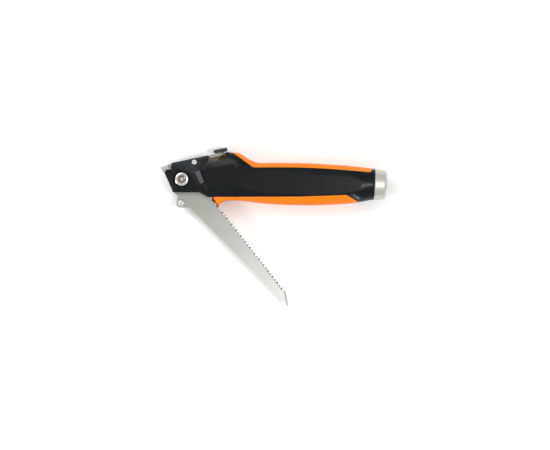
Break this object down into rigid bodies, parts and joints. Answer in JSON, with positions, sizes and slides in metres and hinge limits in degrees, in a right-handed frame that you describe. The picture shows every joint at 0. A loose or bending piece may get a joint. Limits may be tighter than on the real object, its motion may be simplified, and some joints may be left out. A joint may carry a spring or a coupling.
{
  "type": "folding drywall saw with utility knife",
  "caption": "Folding jab saw and retractable utility knife in one black and orange handle, with a metal striking cap on the butt.",
  "frame": {"origin": "middle of the tool's bounding box, on the flat far-side panel that it lies on, with the saw half open", "axes": "+X along the handle to the striking cap, +Y to the thumb slide's side, +Z out of the near side"},
  "size_m": [0.22, 0.1538, 0.0304],
  "materials": {
    "black_plastic": "fine moulded texture",
    "orange_grip": "soft satin",
    "cap_metal": "turned satin",
    "frame_steel": "satin",
    "bright_steel": "bright zinc",
    "dark_steel": "dark oxide",
    "spring_steel": "drawn wire",
    "saw_steel": "matt ground",
    "blade_steel": "ground",
    "carrier_metal": "cast",
    "button_plastic": "satin",
    "bronze_strip": "rolled",
    "washer_nylon": "satin"
  },
  "bodies": {
    "handle": {"near_shell": "black_plastic", "far_shell": "black_plastic", "top_grip": "orange_grip", "near_lower_grip": "orange_grip", "far_lower_grip": "orange_grip", "striking_cap": "cap_metal", "centre_frame": "frame_steel", "pivot_barrel": "bright_steel", "pivot_screw": "bright_steel", "far_pivot_washer": "washer_nylon", "near_pivot_washer": "washer_nylon", "stop_pin": "dark_steel", "detent_ball": "bright_steel", "detent_spring": "spring_steel", "release_spring": "spring_steel", "head_screws": "dark_steel", "handle_screws": "dark_steel"},
    "saw": {"saw_blade": "saw_steel", "saw_stud": "bright_steel"},
    "slider": {"utility_blade": "blade_steel", "blade_carrier": "carrier_metal", "thumb_button": "button_plastic", "slider_spring": "bronze_strip"},
    "release": {"release_button": "bright_steel"}
  },
  "joints": [
    {"name": "saw_fold", "type": "hinge", "parent": "handle", "child": "saw", "pos_m": [-0.08908, 0.04626, 0.0173], "axis": [0, 0, 1], "range_deg": [-118, 45]},
    {"name": "knife_slide", "type": "slide", "parent": "handle", "child": "slider", "axis": [-0.9806, -0.1959, 0], "range_m": [0, 0.028]},
    {"name": "release_press", "type": "slide", "parent": "handle", "child": "release", "axis": [0, 0, -1], "range_m": [0, 0.0008], "stiffness_N_per_m": 100, "springref_m": -0.0008, "deforming": ["release_spring"]}
  ]
}
